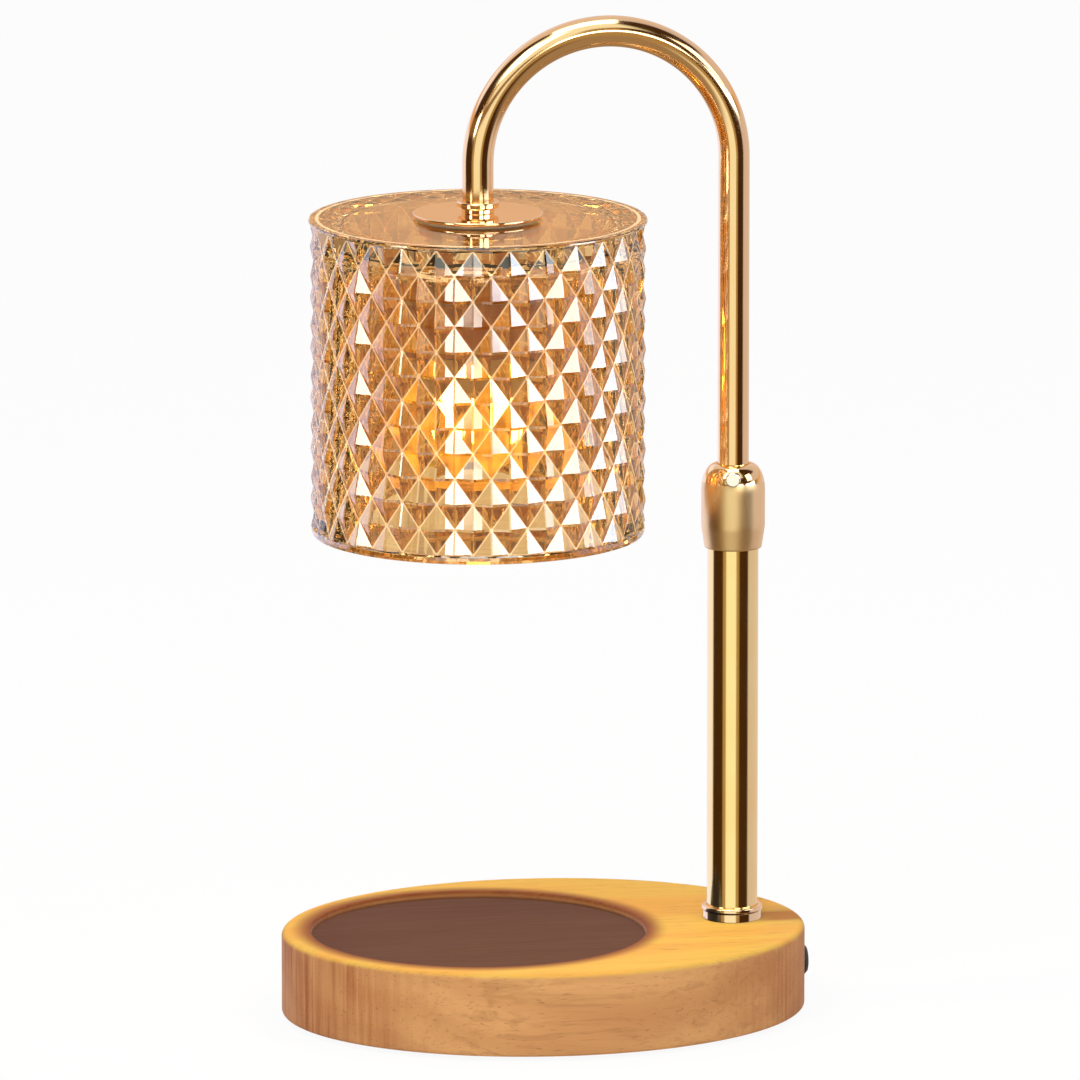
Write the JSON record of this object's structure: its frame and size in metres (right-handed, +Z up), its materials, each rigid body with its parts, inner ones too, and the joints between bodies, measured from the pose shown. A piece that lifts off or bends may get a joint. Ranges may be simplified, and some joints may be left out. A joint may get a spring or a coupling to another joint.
{
  "type": "candle warmer lamp",
  "caption": "Height-adjustable table lamp with an oval wooden base, a hooped telescopic arm and a pressed-glass shade that warms a jar standing below it.",
  "frame": {"origin": "on the table, under the middle of the oval base", "axes": "+Z up, +X along the base towards the post, -Y to the front"},
  "size_m": [0.1881, 0.154, 0.3577],
  "materials": {
    "wood": "clear satin lacquer over straight-grained hardwood",
    "cover": "fine matt texture",
    "steel": "zinc plated",
    "rubber": "matt",
    "ballast": "blued steel",
    "black_plastic": "matt",
    "white_plastic": "moulded",
    "gold": "mirror polished champagne gold plating",
    "brass": "as turned",
    "soft_washer": "translucent silicone",
    "amber_glass": "pressed glass with a champagne amber tint",
    "ceramic": "unglazed steatite",
    "reflector": "vapour coated glass",
    "lens": "clear front glass",
    "capsule": "lit quartz capsule"
  },
  "bodies": {
    "base": {"wood_base": "wood", "bottom_cover": "cover", "cover_screws": "steel", "rubber_feet": "rubber", "ballast_plate": "ballast", "ballast_screws": "steel", "cord_gland": "black_plastic", "terminal_block": "white_plastic", "post_tube": "gold", "foot_ring": "gold", "post_plug": "brass", "post_stud": "steel", "post_washer": "steel", "post_nut": "steel"},
    "swivel_head": {"collar": "gold", "collar_bush": "white_plastic", "snap_ring": "steel"},
    "lock_screw": {"lock_screw": "gold"},
    "arm": {"arm_tube": "gold", "guide_bush": "white_plastic", "tube_insert": "brass", "nipple": "steel", "cap_nut": "gold", "top_disc": "gold", "top_gasket": "soft_washer", "inner_gasket": "soft_washer", "inner_washer": "gold", "lock_nut": "steel", "glass_shade": "amber_glass", "holder_bracket": "steel", "lamp_holder": "ceramic", "holder_screws": "steel"},
    "bulb": {"bulb_base": "ceramic", "bulb_reflector": "reflector", "bulb_lens": "lens", "bulb_capsule": "capsule", "bulb_pins": "steel"}
  },
  "joints": [
    {"name": "arm_swivel", "type": "hinge", "parent": "base", "child": "swivel_head", "pos_m": [0.0685, 0, 0.1808], "axis": [0, 0, 1], "range_deg": [-90, 90]},
    {"name": "arm_height", "type": "slide", "parent": "swivel_head", "child": "arm", "axis": [0, 0, 1], "range_m": [-0.06, 0.025]},
    {"name": "lock_turn", "type": "hinge", "parent": "swivel_head", "child": "lock_screw", "pos_m": [0.0685, 0, 0.1919], "axis": [-0.1822, -0.9833, 0], "range_deg": [0, 360]},
    {"name": "bulb_twist", "type": "hinge", "parent": "arm", "child": "bulb", "pos_m": [-0.0235, 0, 0.2444], "axis": [0, 0, 1], "range_deg": [0, 20]}
  ]
}
